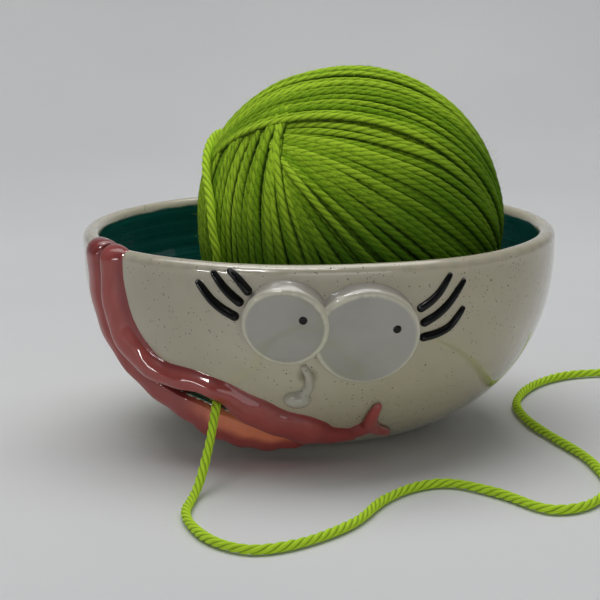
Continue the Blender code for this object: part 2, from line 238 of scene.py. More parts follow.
class Shader:
    """A node material with a Principled shader, built one node a call. Its slot is kept but not used.
    """

    def __init__(self, name, slot=None, **inputs):
        self.slot = slot
        self.material = bpy.data.materials.new(name)
        self.material.use_nodes = True
        self.tree = self.material.node_tree
        self.principled = self.tree.nodes["Principled BSDF"]
        self.put(self.principled, inputs)

    def put(self, node, inputs):
        """Sets a node's inputs by name (spaces as _) or number; a socket is linked."""
        for key, value in inputs.items():
            socket = node.inputs[key if isinstance(key, int) else key.replace("_", " ")]
            if isinstance(value, bpy.types.NodeSocket):
                self.tree.links.new(value, socket)
            elif isinstance(value, tuple) and len(value) == 3 and socket.type == "RGBA":
                socket.default_value = (*value, 1.0)
            else:
                socket.default_value = value

    def add(self, kind, settings=None, numbered=None, **inputs):
        node = self.tree.nodes.new("ShaderNode" + kind)
        for key, value in (settings or {}).items():
            setattr(node, key, value)
        self.put(node, inputs)
        self.put(node, numbered or {})
        return node

    def maths(self, operation, first, second=0.0, third=0.0):
        values = {0: first, 1: second, 2: third}
        return self.add("Math", {"operation": operation}, values).outputs[0]

    def times(self, first, second):
        return self.maths("MULTIPLY", first, second)

    def noise(self, vector, scale, detail=3.0):
        return self.add("TexNoise", Vector=vector, Scale=scale, Detail=detail).outputs["Fac"]

    def stretched(self, vector, scale):
        return self.add("Mapping", Vector=vector, Scale=scale).outputs[0]

    def part(self, vector, axis):
        return self.add("SeparateXYZ", Vector=vector).outputs[axis]

    def spread(self, value, low, high, to_low=0.0, to_high=1.0):
        """Maps low..high smoothly to to_low..to_high."""
        node = self.add("MapRange", {"interpolation_type": "SMOOTHSTEP"},
                        Value=value, From_Min=low, From_Max=high, To_Min=to_low, To_Max=to_high)
        return node.outputs["Result"]

    def mix(self, share, first, second):
        node = self.add("Mix", {"data_type": "RGBA"})
        self.put(node, {0: share, 6: first, 7: second})
        return node.outputs[2]

    def attribute(self, name):
        return self.add("Attribute", {"attribute_name": name}).outputs["Fac"]

    def position(self):
        return self.add("TexCoord").outputs["Object"]

    def bump(self, height, strength, distance):
        node = self.add("Bump", Strength=strength, Distance=distance, Height=height)
        self.put(self.principled, {"Normal": node.outputs["Normal"]})

    def dress(self, obj):
        obj.data.materials.clear()
        obj.data.materials.append(self.material)


IRON_BROWN = (0.060, 0.036, 0.018)


def speckles(shader, colour):
    """Iron specks that burn through the glaze: a few large, many fine, gathered in clouds."""
    place = shader.position()
    cloud = shader.spread(shader.noise(place, 40.0), 0.36, 0.66, 0.3, 1.5)
    for scale, size, share in ((300.0, 0.15, 0.11), (560.0, 0.20, 0.20), (900.0, 0.26, 0.20)):
        cells = shader.add("TexVoronoi", Vector=place, Scale=scale)
        here = shader.spread(cells.outputs["Distance"], size, size * 0.5)
        chance = shader.add("SeparateColor", Color=cells.outputs["Color"]).outputs[0]
        chosen = shader.maths("LESS_THAN", chance, shader.times(cloud, share))
        speck = shader.times(shader.times(here, chosen), 0.92)
        colour = shader.mix(speck, colour, IRON_BROWN)
    return colour


def glazed(name, slot, thin, thick, edge, specks=False, shine=1.0, roughness=0.25):
    """Glossy glaze, in clouds of thin and thick, of its own colour where it breaks over an edge. On the
    white glaze that pale edge colour is partly a painted highlight along the eyes' raised edges.
    """
    shader = Shader(name, slot, Roughness=roughness, Coat_Weight=shine, Coat_Roughness=0.04,
                    Specular_IOR_Level=0.4 * shine)
    place = shader.position()
    cloudy = shader.spread(shader.noise(place, 38.0, 4.0), 0.35, 0.68)
    colour = shader.mix(cloudy, thin, thick)
    curve = shader.attribute("curve")
    # Edge colour: glaze thinning over convex edges, and on the white glaze partly a painted highlight.
    colour = shader.mix(shader.spread(curve, 0.04, 0.36, 0.0, 0.60), colour, edge)
    if specks:
        colour = speckles(shader, colour)
    shader.put(shader.principled, {"Base_Color": colour})
    shader.bump(shader.noise(place, 160.0, 2.0), 0.10, 0.0006)
    return shader


def bowl_glaze():
    """Cream outside and over the rim, teal inside, bare clay under the foot."""
    shader = Shader("bowl_glaze", "cream_glaze", Coat_Roughness=0.035, Specular_IOR_Level=0.4)
    place = shader.position()
    cloudy = shader.spread(shader.noise(place, 22.0, 5.0), 0.35, 0.68)
    cream = shader.mix(cloudy, (0.56, 0.51, 0.39), (0.47, 0.43, 0.31))
    low = shader.spread(shader.part(place, "Z"), 0.055, 0.010, 0.0, 0.45)
    cream = shader.mix(low, cream, (0.56, 0.52, 0.34))
    # Painted reflection of the green yarn: the cream goes darker and olive towards the right.
    painted_yarn_reflection = shader.spread(shader.part(place, "X"), -0.01, 0.07, 0.0, 0.6)
    cream = shader.mix(painted_yarn_reflection, cream, (0.42, 0.37, 0.22))
    cream = shader.mix(shader.times(shader.attribute("rim"), 0.5), cream, (0.60, 0.55, 0.42))
    # Painted shade, dark olive, in the hollow beside the nose.
    cream = shader.mix(shader.times(shader.attribute("nose_hollow_shade"), 0.8), cream, (0.17, 0.14, 0.06))
    cream = speckles(shader, cream)
    rings = shader.noise(shader.stretched(place, (3.0, 3.0, 900.0)), 1.0, 2.0)
    teal = shader.mix(shader.spread(rings, 0.4, 0.75), (0.002, 0.100, 0.092), (0.006, 0.150, 0.130))
    ragged = shader.maths("MULTIPLY_ADD", shader.noise(place, 90.0), 0.16, -0.08)
    inside = shader.maths("ADD", shader.attribute("inside"), ragged)
    colour = shader.mix(shader.spread(inside, 0.90, 0.98), cream, teal)
    colour = shader.mix(shader.attribute("cut"), colour, teal)
    bare = shader.spread(shader.attribute("foot"), 0.4, 0.6)
    colour = shader.mix(bare, colour, (0.46, 0.36, 0.25))
    shader.put(shader.principled, {
        "Base_Color": colour,
        "Coat_Weight": shader.maths("SUBTRACT", 1.0, bare),
        "Roughness": shader.maths("MULTIPLY_ADD", bare, 0.55, 0.24),
    })
    grain = shader.maths("MULTIPLY_ADD", rings, 0.5, shader.noise(place, 120.0, 3.0))
    shader.bump(grain, 0.12, 0.0007)
    return shader


def pink_glaze():
    """Coral glaze: pale where it thins over an edge, darker crimson in hollows and where it lies low by
    the wall (painted shade), and a bright salmon on the lower lip's inner face (painted light and a
    painted warm reflection).
    """
    shader = Shader("pink_glaze", "pink_glaze", Roughness=0.35, Coat_Weight=1.0,
                    Coat_Roughness=0.03, Specular_IOR_Level=0.12)
    place = shader.position()
    cloudy = shader.spread(shader.noise(place, 60.0, 4.0), 0.35, 0.7)
    body = shader.mix(cloudy, (0.43, 0.080, 0.068), (0.36, 0.058, 0.050))
    # Painted shade: darker crimson where the lip lies low by the wall and, below, in concave hollows.
    low = shader.spread(shader.attribute("lift"), 0.0026, 0.0004, 0.0, 0.6)
    body = shader.mix(low, body, (0.20, 0.020, 0.020))
    curve = shader.attribute("curve")
    body = shader.mix(shader.spread(curve, -0.05, -0.35, 0.0, 0.6), body, (0.20, 0.022, 0.022))
    # Painted light and a painted warm reflection: the lower lip's inner face is drawn a bright salmon.
    salmon = shader.mix(cloudy, (0.98, 0.31, 0.145), (0.86, 0.23, 0.13))
    body = shader.mix(shader.times(shader.attribute("inner"), 0.85), body, salmon)
    body = shader.mix(shader.spread(curve, 0.45, 0.95, 0.0, 0.85), body, (0.66, 0.26, 0.25))
    shader.put(shader.principled, {"Base_Color": body})
    shader.bump(shader.noise(place, 140.0, 3.0), 0.14, 0.0007)
    return shader


def wool(pale, deep):
    """Plied wool: fibres run along the strand, each strand a shade of its own, with painted shade in
    the grooves between plies, on the sides of wound turns that face into the ball and over the core.
    The wound ball is also painted darker towards its lower right: painted shade from the bowl."""
    shader = Shader("green_wool", "green_wool", Roughness=0.9, Specular_IOR_Level=0.12,
                    Sheen_Weight=0.06, Sheen_Roughness=0.5, Sheen_Tint=(0.70, 0.95, 0.35))
    along = shader.add("UVMap").outputs["UV"]
    fibres = shader.noise(shader.stretched(along, (26.0, 900.0, 1.0)), 1.0)
    place = shader.position()
    patches = shader.noise(place, 60.0)
    share = shader.maths("MULTIPLY_ADD", fibres, 0.45, shader.times(patches, 0.25))
    share = shader.maths("MULTIPLY_ADD", shader.attribute("shade"), 0.30, share)
    colour = shader.mix(shader.spread(share, 0.30, 0.70), deep, pale)
    # Painted shade: the wound ball is drawn darker towards its lower right, where the bowl shades it.
    leaning = shader.maths("MULTIPLY_ADD", shader.part(place, "X"), -0.45, shader.part(place, "Z"))
    painted_shade_lower_right = shader.times(shader.spread(leaning, 0.112, 0.068, 0.0, 0.75), shader.attribute("wound"))
    colour = shader.mix(painted_shade_lower_right, colour, (0.040, 0.140, 0.001))
    # Painted shade in the grooves between plies.
    groove = shader.spread(shader.attribute("crest"), 0.0, 0.8, 0.60, 0.0)
    colour = shader.mix(groove, colour, (0.050, 0.130, 0.001))
    # Painted shade on the side of each wound turn that faces into the ball, and over the whole core.
    inward_side_shade = shader.spread(shader.attribute("open"), 0.86, 0.15, 0.0, 0.9)
    colour = shader.mix(inward_side_shade, colour, (0.014, 0.052, 0.0005))
    shader.put(shader.principled, {"Base_Color": colour})
    shader.bump(fibres, 0.5, 0.0004)
    return shader


# ---------------- the wall

def make_outline():
    """The turned outline, up the outer wall, over the rim and down the inner wall. Columns:
    distance from the outer shoulder, radius, height, and the outward normal's two parts."""
    bend = 2 / FULLNESS
    base_turn = math.asin((SHOULDER / BELLY_DEPTH) ** (1 / bend))
    turn = np.linspace(base_turn, 0, 500)
    outer = np.stack([RIM_RADIUS * np.cos(turn) ** bend,
                      SHOULDER - BELLY_DEPTH * np.sin(turn) ** bend], axis=-1)
    turn = np.linspace(0, math.pi, 80)[1:]
    rim = np.stack([RIM_RADIUS - WALL / 2 + WALL / 2 * np.cos(turn),
                    SHOULDER + WALL / 2 * np.sin(turn)], axis=-1)
    turn = np.linspace(0, math.pi / 2, 500)[1:]
    inner = np.stack([(RIM_RADIUS - WALL) * np.abs(np.cos(turn)) ** bend,
                      SHOULDER - (SHOULDER - FLOOR) * np.sin(turn) ** bend], axis=-1)
    points = np.vstack([outer, rim, inner])
    gone = gone_along(points)
    tangent = unit(np.gradient(points, gone, axis=0))
    return np.column_stack([gone - gone[len(outer) - 1], points, tangent[:, 1], -tangent[:, 0]])


OUTLINE = make_outline()


def along_outline(along, column):
    return np.interp(along, OUTLINE[:, 0], OUTLINE[:, column])


def radius_at(along):
    return along_outline(along, 1)


def skin(azimuth, along, lift):
    """Points lifted this far off the bowl, at these distances along its outline."""
    radius = radius_at(along) + lift * along_outline(along, 3)
    height = along_outline(along, 2) + lift * along_outline(along, 4)
    return np.stack([radius * np.sin(azimuth), -radius * np.cos(azimuth), height], axis=-1)


def unroll(points):
    """(azimuth, distance along the outline, height off the bowl) of each point."""
    azimuth = np.arctan2(points[:, 0], -points[:, 1])
    flat = np.stack([np.hypot(points[:, 0], points[:, 1]), points[:, 2]], axis=-1)
    nearest = np.empty(len(flat), int)
    for start in range(0, len(flat), UNROLL_BATCH):
        batch = flat[start:start + UNROLL_BATCH]
        gaps = ((batch[:, None] - OUTLINE[None, :, 1:3]) ** 2).sum(-1)
        nearest[start:start + UNROLL_BATCH] = gaps.argmin(1)
    found = OUTLINE[nearest]
    away = flat - found[:, 1:3]
    lift = (away * found[:, 3:5]).sum(1)
    step = away[:, 1] * found[:, 3] - away[:, 0] * found[:, 4]
    return azimuth, found[:, 0] + step, lift


# ---------------- bowl

def make_bowl(glaze):
    """The turned bowl: the CAD bowl skinned finely, its facets turned smooth, its cut edges soft."""
    bowl = copy_of("bowl_body", "bowl")
    apply_modifier(bowl, "REMESH", mode="VOXEL", voxel_size=BOWL_GRAIN)
    apply_modifier(bowl, "SMOOTH", factor=0.5, iterations=4)
    azimuth, along, lift = unroll(points_of(bowl))
    inside = smoothstep(0.0, RIM_LENGTH, along)
    turned = 1 - smoothstep(0.00018, 0.0006, np.abs(lift))
    points = points_of(bowl)
    points += (skin(azimuth, along, throwing_rings(along, inside)) - points) * turned[:, None]
    points += rim_sway(azimuth, points[:, 2])
    move_points(bowl, points)
    bowl.data.shade_smooth()
    mark_bowl(bowl, azimuth, along, np.abs(lift), points[:, 2])
    finish_piece(bowl, glaze, "bowl", "bowl_body")


def mark_bowl(bowl, azimuth, along, off_wall, height):
    """Says for each point how far it's inside, on the rim, under the foot, on a cut face, or in the
    hollow beside the nose, which gets painted shade."""
    over_rim = along / RIM_LENGTH
    nose_top = coil_line("nose", TOP_END)[0]
    across = (azimuth - nose_top[AZIMUTH]) * RIM_RADIUS - 0.0012
    from_hollow = np.hypot(across, along - nose_top[ALONG] + 0.0036)
    store(bowl, "inside", over_rim)
    store(bowl, "rim", smoothstep(-0.0030, 0.0006, along) * smoothstep(1.1, 0.9, over_rim))
    store(bowl, "foot", smoothstep(0.0014, 0.0006, height))
    store(bowl, "cut", smoothstep(0.0002, 0.0005, off_wall) * smoothstep(0.004, 0.008, height))
    # Painted shade in the hollow beside the nose.
    store(bowl, "nose_hollow_shade", smoothstep(0.0050, 0.0014, from_hollow))


def throwing_rings(along, inside):
    """Shallow rings left by the potter's fingers, deeper inside."""
    rings = np.sin(along / 0.0011 + 0.8 * np.sin(along / 0.0047)) * np.sin(along / 0.0039 + 1.0)
    return rings * (0.00002 + 0.00008 * inside)


def rim_sway(azimuth, height):
    """A rim that isn't quite round or level."""
    sway = smoothstep(0.02, RIM_HEIGHT, height)
    radial = sway * (0.00025 * np.sin(2 * azimuth + 0.6) + 0.00012 * np.sin(5 * azimuth))
    upward = sway * (0.00022 * np.sin(3 * azimuth + 1.2) + 0.00010 * np.sin(7 * azimuth))
    return np.stack([radial * np.sin(azimuth), -radial * np.cos(azimuth), upward], axis=-1)


# ---------------- applied clay

# Columns of a coil's line, which has a row for each place along the coil. ALONG is the distance
# along the bowl's outline: zero at the outer shoulder, negative below it, positive over the rim.
AZIMUTH, ALONG, WIDTH, THICKNESS = range(4)


def loose_mesh(node):
    """A CAD node's mesh with its facets welded."""
    build = bmesh.new()
    build.from_mesh(frame["nodes"][node].data)
    bmesh.ops.remove_doubles(build, verts=build.verts, dist=1e-6)
    bmesh.ops.recalc_face_normals(build, faces=build.faces)
    return build


def copy_of(node, name):
    obj = mesh_object(name, [], [])
    build = loose_mesh(node)
    build.to_mesh(obj.data)
    build.free()
    return obj


def rings_of(node, start, sides):
    """The rings of points that a CAD coil or strand was lofted from. The first is its end on the
    side of `start`: the points nearest to that place."""
    build = loose_mesh(node)
    build.verts.index_update()
    ring = sorted(build.verts, key=lambda vert: (vert.co - Vector(start)).length)[:sides]
    seen = set(ring)
    rings = []
    while ring:
        rings.append(np.array([vert.co for vert in ring]))
        beyond = {edge.other_vert(vert) for vert in ring for edge in vert.link_edges} - seen
        seen |= beyond
        ring = sorted(beyond, key=lambda vert: vert.index)
    build.free()
    return rings


def coil_line(node, start):
    """The line down the middle of a CAD coil; WIDTH is half the coil's width."""
    line = []
    for ring in rings_of(node, start, COIL_SIDES)[END_RINGS:-END_RINGS]:
        azimuth, along, lift = unroll(ring)
        flat = np.stack([azimuth * radius_at(along.mean()), along], axis=-1)
        gaps = np.linalg.norm(flat[:, None] - flat[None], axis=-1)
        line.append((azimuth.mean(), along.mean(), gaps.max() / 2, lift.max()))
    return np.array(line)


def rounded_ends(line, length=1.0, steps=6):
    """The line with a round end, this many half widths long, added at both ends."""
    angle = np.radians(np.linspace(0, 84, steps + 1)[1:])
    for _ in range(2):
        last, before = line[-1], line[-3]
        radius = radius_at(last[ALONG])
        across, up = unit((last - before)[:WIDTH] * (radius, 1))
        reach = length * last[WIDTH] * np.sin(angle)
        end = np.column_stack([last[AZIMUTH] + across * reach / radius, last[ALONG] + up * reach,
                               last[WIDTH] * np.cos(angle), last[THICKNESS] * np.cos(angle) ** 0.6])
        line = np.vstack([line, end])[::-1]
    return line


def lay(name, line, section):
    """A closed coil on the wall. `section` holds (side, height) for each point round each place on
    the line, in half widths and thicknesses; a height below zero is under the wall's skin."""
    radius = radius_at(line[:, ALONG])
    steps = [np.gradient(line[:, AZIMUTH]) * radius, np.gradient(line[:, ALONG])]
    across, up = unit(np.stack(steps, axis=-1)).T[..., None]
    side = section[..., 0] * line[:, [WIDTH]]
    height = section[..., 1] * line[:, [THICKNESS]]
    azimuth = line[:, [AZIMUTH]] - up * side / radius[:, None]
    along = line[:, [ALONG]] + across * side
    points = skin(azimuth, along, np.where(height < 0, -SINK, height)).reshape(-1, 3)
    return mesh_object(name, points, ring_faces(len(line), section.shape[1]))


def blended(first, second, share):
    """Sections that change from the first outline to the second with share, smoothed."""
    drawn = first[None] + (second - first)[None] * share[:, None, None]
    return np.stack([smooth_line(outline, 4) for outline in drawn])


def fuse(obj, grain, rounds, others=()):
    """Joins the pieces into one skin of modelled clay and smooths it."""
    build = bmesh.new()
    for piece in (obj, *others):
        build.from_mesh(piece.data)
    bmesh.ops.recalc_face_normals(build, faces=build.faces)
    build.to_mesh(obj.data)
    build.free()
    for piece in others:
        bpy.data.objects.remove(piece, do_unlink=True)
    apply_modifier(obj, "REMESH", mode="VOXEL", voxel_size=grain)
    apply_modifier(obj, "SMOOTH", factor=0.5, iterations=rounds)
    obj.data.shade_smooth()
    store_form(obj)


def store_form(obj):
    """Keeps each point's height off the wall, and its curvature (per mm, convex above zero)."""
    points, normals = points_of(obj), normals_of(obj)
    ends = np.empty(len(obj.data.edges) * 2, np.int32)
    obj.data.edges.foreach_get("vertices", ends)
    ends = ends.reshape(-1, 2)
    ends = np.vstack([ends, ends[:, ::-1]])
    count = np.bincount(ends[:, 0], minlength=len(points))
    length = np.linalg.norm(points[ends[:, 0]] - points[ends[:, 1]], axis=1).mean()
    around = [np.bincount(ends[:, 0], points[ends[:, 1], k], len(points)) / count for k in range(3)]
    bend = -((np.stack(around, axis=-1) - points) * normals).sum(1)
    for _ in range(4):
        bend = (bend + np.bincount(ends[:, 0], bend[ends[:, 1]], len(points)) / count) / 2
    store(obj, "curve", 2 * bend / length**2 / 1000)
    store(obj, "lift", unroll(points)[2])


def finish_piece(obj, shader, body, *nodes):
    """Dresses the piece, lets it ride on its body and stand in for these CAD nodes."""
    shader.dress(obj)
    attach(obj, body)
    if nodes:
        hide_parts(*nodes)


# Sections of the lips, drawn from the underside round to the underside: (side, height)
UPPER_AT_SLIT = np.array([
    (-0.95, -1), (-1.16, 0.20), (-1.16, 0.62), (-1.02, 0.92), (-0.74, 1.04), (-0.34, 0.98),
    (0.12, 0.80), (0.52, 0.52), (0.86, 0.24), (1.10, 0.07), (1.30, 0.0), (1.42, -1),
])
UPPER_AT_MOUTH = np.array([
    (-0.85, -1), (-1.08, 0.24), (-1.08, 0.58), (-0.88, 0.90), (-0.48, 1.06), (-0.02, 1.06),
    (0.42, 0.88), (0.78, 0.55), (1.00, 0.24), (1.16, 0.07), (1.30, 0.0), (1.42, -1),
])
LOWER_AT_SLIT = np.array([
    (-1.20, -1), (-1.16, 0.0), (-1.08, 0.18), (-0.94, 0.50), (-0.62, 0.86), (-0.20, 1.00),
    (0.28, 1.00), (0.72, 0.90), (1.02, 0.64), (1.16, 0.34), (1.16, 0.12), (1.00, -1),
])
LOWER_AT_MOUTH = np.array([
    (-1.16, -1), (-1.12, 0.0), (-1.06, 0.24), (-0.93, 0.62), (-0.66, 0.97), (-0.28, 1.04),
    (0.10, 0.90), (0.40, 0.70), (0.62, 0.52), (0.77, 0.36), (0.85, 0.18), (0.82, -1),
])


def lip_path(node, over):
    """The lip's line, thinner towards the rim and folded over this share of the rim."""
    line = coil_line(node, TOP_END)
    fold = np.repeat(line[:1], 4, axis=0)
    fold[:, ALONG] = RIM_LENGTH * over * np.array([1.0, 0.66, 0.33, 0.0])
    to_metres = (RIM_RADIUS, 1, 1, 1)
    line = smooth_line(np.vstack([fold, line[1:]]), 5) * to_metres
    line = softened(evenly(line, int(line_length(line) / LINE_STEP)), 8) / to_metres
    line[:, THICKNESS] *= 1 - 0.34 * smoothstep(-0.034, -0.004, line[:, ALONG])
    line[:, THICKNESS] *= 1 - 0.64 * smoothstep(-0.001, RIM_LENGTH * over, line[:, ALONG])
    return rounded_ends(line, 0.4)


def hand_marks(line, seed):
    """Slow unevenness in a coil's width and thickness."""
    wave = np.linspace(0, 1, len(line)) * 40
    line[:, WIDTH] *= 1 + 0.03 * np.sin(wave + seed)
    line[:, THICKNESS] *= 1 + 0.05 * np.sin(1.7 * wave + 2 * seed)
    return line


def make_lower_lip(glaze):
    """It touches the upper lip above the mouth and spreads under it."""
    line = hand_marks(lip_path("lower_lip", 0.80), 1.0)
    touching = near(line[:, ALONG], -0.050, 0.007)
    broad = near(line[:, AZIMUTH], YARN_LEAVES, math.radians(9))
    line[:, ALONG] += 0.0007 * touching + 0.0010 * broad
    line[:, WIDTH] *= 1 + 0.10 * touching - 0.11 * broad
    at_mouth = smoothstep(-0.028, -0.044, line[:, ALONG])
    lip = lay("clay_lower_lip", line, blended(LOWER_AT_SLIT, LOWER_AT_MOUTH, at_mouth))
    store_form(lip)
    store_inner_face(lip, line)
    finish_piece(lip, glaze, "bowl", "lower_lip")


def make_upper_lip(glaze):
    """Slimmer by the rim, over the yarn, under the nose and at its far end, where it opens into the
    corner of the mouth."""
    line = hand_marks(lip_path("upper_lip", 0.42), 2.0)
    by_rim = smoothstep(-0.034, -0.006, line[:, ALONG])
    line[:, AZIMUTH] -= math.radians(0.9) * by_rim
    line[:, WIDTH] *= 1 - 0.15 * by_rim
    line[:, WIDTH] *= 1 - 0.14 * near(line[:, AZIMUTH], YARN_LEAVES, math.radians(6))
    under_nose = near(line[:, AZIMUTH], UNDER_NOSE, math.radians(6))
    line[:, ALONG] -= 0.0011 * under_nose
    line[:, WIDTH] *= 1 - 0.20 * under_nose
    line[:, WIDTH:] *= 1 - 0.22 * smoothstep(-0.070, -0.0735, line[:, [ALONG]])
    at_mouth = smoothstep(-0.024, -0.040, line[:, ALONG])
    lip = lay("clay_upper_lip", line, blended(UPPER_AT_SLIT, UPPER_AT_MOUTH, at_mouth))
    fuse(lip, LIP_GRAIN, 6, [copy_of("mouth_corner", "corner"), corner_web(line[-8])])
    # The upper lip has none of the lower lip's painted salmon light.
    store_evenly(lip, inner=0)
    finish_piece(lip, glaze, "bowl", "upper_lip", "mouth_corner")


def corner_web(lip_end):
    """The clay that joins the upper lip's end to the fork of the mouth's corner."""
    corner = coil_line("mouth_corner", TOP_END)
    fork = corner[int(0.6 * len(corner))]
    line = rounded_ends(evenly(np.array([lip_end, fork]), 12))
    return lay("web", line, round_section(len(line)))


def store_inner_face(lip, line):
    """Marks the lower lip's broad face under the mouth, which is painted a bright salmon: painted
    light and a painted warm reflection on a face that gets little light.
    """
    points = points_of(lip)
    middle = skin(line[:, AZIMUTH], line[:, ALONG], line[:, THICKNESS])
    nearest = np.array([((middle - point) ** 2).sum(1).argmin() for point in points])
    side = unroll(points)[1] - line[nearest, ALONG]
    at_mouth = smoothstep(SLIT_ENDS, MOUTH_OPENS, line[nearest, AZIMUTH])
    store(lip, "inner", smoothstep(0.0007, 0.0036, side) * at_mouth)


def eye_section(radius, top):
    """(reach, height) from under the wall up a rounded side to a raised edge, then the dished face."""
    section = [(-0.5 * radius, -SINK), (0.0012, -SINK), (0.0006, 0.0), (0.0002, 0.0007)]
    section.append((0.0001, top / 2))
    for step in range(8):
        angle = math.radians(90 * step / 7)
        section.append((-EYE_EDGE * (1 - math.cos(angle)), top - EYE_EDGE * (1 - math.sin(angle))))
    for share, dip in ((0.87, 0.0001), (0.82, 0.00028), (0.74, 0.00042), (0.5, 0.0005), (0.2, 0.0005)):
        section.append(((share - 1) * radius, top - dip))
    return section


def slab(name, node, section, tilt=0.0, lean=0.0, slope=SLOPE_BACK, wobble=0.008, sides=96):
    """A round slab draped on the wall over a CAD node. It's thicker by `tilt` at its top, where its
    side slopes back by this share of its thickness, and by `lean` on its right."""
    around, up_wall, _ = unroll(points_of(frame["nodes"][node]))
    along = (up_wall.min() + up_wall.max()) / 2
    radius = (up_wall.max() - up_wall.min()) / 2
    # measured from the right edge, since the left eye hides the right one's left edge
    azimuth = around.max() - radius / radius_at(along)
    turn = np.linspace(0, 2 * math.pi, sides, endpoint=False)
    shape = 1 + wobble * (np.sin(2 * turn + 1.0) + 0.6 * np.sin(3 * turn))
    rings = []
    for reach, lift in section(radius):
        across = (radius + reach) * shape * np.cos(turn)
        up = (radius + reach) * shape * np.sin(turn)
        height = np.full(sides, lift)
        if lift > 0:
            height = height + (tilt * up + lean * across) / radius
            up = up - slope * height * (1 + up / radius) / 2
        rings.append(skin(azimuth + across / radius_at(along), along + up, height))
    return mesh_object(name, np.vstack(rings), ring_faces(len(rings), sides))


def make_eye(side, glaze, top, tilt, lean):
    """A pressed-on slab, `top` thick at its raised edge. The left one is thicker and laps the right."""
    eye = slab(f"clay_{side}_eye", f"{side}_eye", lambda radius: eye_section(radius, top), tilt, lean)
    fuse(eye, EYE_GRAIN, 5)
    finish_piece(eye, glaze, "bowl", f"{side}_eye")


def make_pupil(side, glaze, base):
    """A bead of black glaze, its widest place this far off the wall."""
    pupil = slab(f"bead_{side}_pupil", f"{side}_pupil", lambda radius: bead_section(radius, base),
                 slope=0.0, wobble=0.0, sides=32)
    store_form(pupil)
    finish_piece(pupil, glaze, "bowl", f"{side}_pupil")


def bead_section(radius, base):
    """(reach, height) from inside the eye up a low dome."""
    section = [(-0.9 * radius, base - 0.0012), (0.0001, base - 0.0010)]
    for step in range(7):
        angle = math.radians(88 * step / 6)
        section.append((radius * (math.cos(angle) - 1), base + BEAD_HEIGHT * math.sin(angle)))
    return section


def round_section(rings, sides=12):
    """A plain half-round section with a small fillet, the same at every place."""
    angle = np.linspace(0, math.pi, sides)
    dome = np.stack([-np.cos(angle), 0.04 + 0.96 * np.sin(angle)], axis=-1)
    outline = np.vstack([[(-1.2, -1), (-1.15, 0.0)], dome, [(1.15, 0.0), (1.2, -1)]])
    return np.repeat(outline[None], rings, axis=0)


def make_lashes(glaze):
    """Thin coils, drawn out from the eye towards their tips."""
    for side in ("left", "right"):
        eye = sum(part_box(side + "_eye"), Vector()) / 2
        for level in ("upper", "middle", "lower"):
            node = side + "_lash_" + level
            line = smooth_line(coil_line(node, eye), 6)
            share = np.linspace(0, 1, len(line))
            line[:, WIDTH] = LASH_HALF_WIDTH * (1.0 - 0.35 * share**2)
            line[:, THICKNESS] = LASH_THICKNESS * (1.0 - 0.25 * share**2)
            line = rounded_ends(line)
            lash = lay("coil_" + node, line, round_section(len(line)))
            fuse(lash, LASH_GRAIN, 3)
            finish_piece(lash, glaze, "bowl", node)


def make_nose(glaze):
    """A hooked coil that hangs from between the eyes and ends in a round tip."""
    line = smooth_line(coil_line("nose", TOP_END), 6)
    share = np.linspace(0, 1, len(line))
    line[:, WIDTH] = 0.0014 + 0.0010 * share**2
    line[:, THICKNESS] = 0.0016 + 0.0012 * share
    tip = pebble("tip", skin(*line[-1, :WIDTH], 0.0008), NOSE_TIP)
    line = rounded_ends(line)
    nose = lay("clay_nose", line, round_section(len(line)))
    fuse(nose, NOSE_GRAIN, 4, [tip])
    finish_piece(nose, glaze, "bowl", "nose")


def pebble(name, middle, half_size):
    """A round lump of clay."""
    lump = mesh_object(name, [], [])
    build = bmesh.new()
    bmesh.ops.create_icosphere(build, subdivisions=4, radius=1.0)
    build.to_mesh(lump.data)
    build.free()
    move_points(lump, middle + points_of(lump) * half_size)
    return lump


# ---------------- yarn

# The axis of each turn of yarn as the ball is wound, from the crown down to the left side
WINDING_AXES = np.array([
    (-0.06, 1.00, -0.02), (0.19, 0.73, 0.66), (0.40, 0.45, 0.80), (0.60, 0.24, 0.76),
    (0.74, -0.03, 0.67), (0.84, -0.25, 0.48), (0.86, -0.47, 0.20), (0.72, -0.69, 0.08),
    (0.42, -0.91, 0.04), (0.06, -1.00, 0.02),
])
WINDING_POLE = unit(np.array((-0.44, -0.66, 0.61)))     # where the turns cross each other
LEFT_SHOULDER = unit(np.array((-0.74, -0.05, 0.70)))    # the ball is fuller here
STRAND_SPACING = 0.00318
WINDING_STEP = 0.00125      # between the points of a turn
TUCKS = (                   # how deep the turns pass at the pole, up to this share of the winding
    (0.235, 0.0),           # the crown's turns lie over all the others
    (0.630, 0.0026),        # the fan's lie under them all
    (1.0, 0.0010),          # and the side's lie between
)


def on_ball(direction, lift):
    """The point of the ball's egg shape in each direction from its middle, lifted by this much."""
    half_height = np.where(direction[:, 2] > 0, BALL_TOP - BALL_MIDDLE[2], BALL_MIDDLE[2] - BALL_BOTTOM)
    flat = (direction[:, 0] ** 2 + direction[:, 1] ** 2) / BALL_RADIUS**2
    reach = 1 / np.sqrt(flat + (direction[:, 2] / half_height) ** 2)
    reach += 0.0011 * smoothstep(0.80, 1.0, direction @ LEFT_SHOULDER)
    return BALL_MIDDLE + direction * (reach + lift)[:, None]


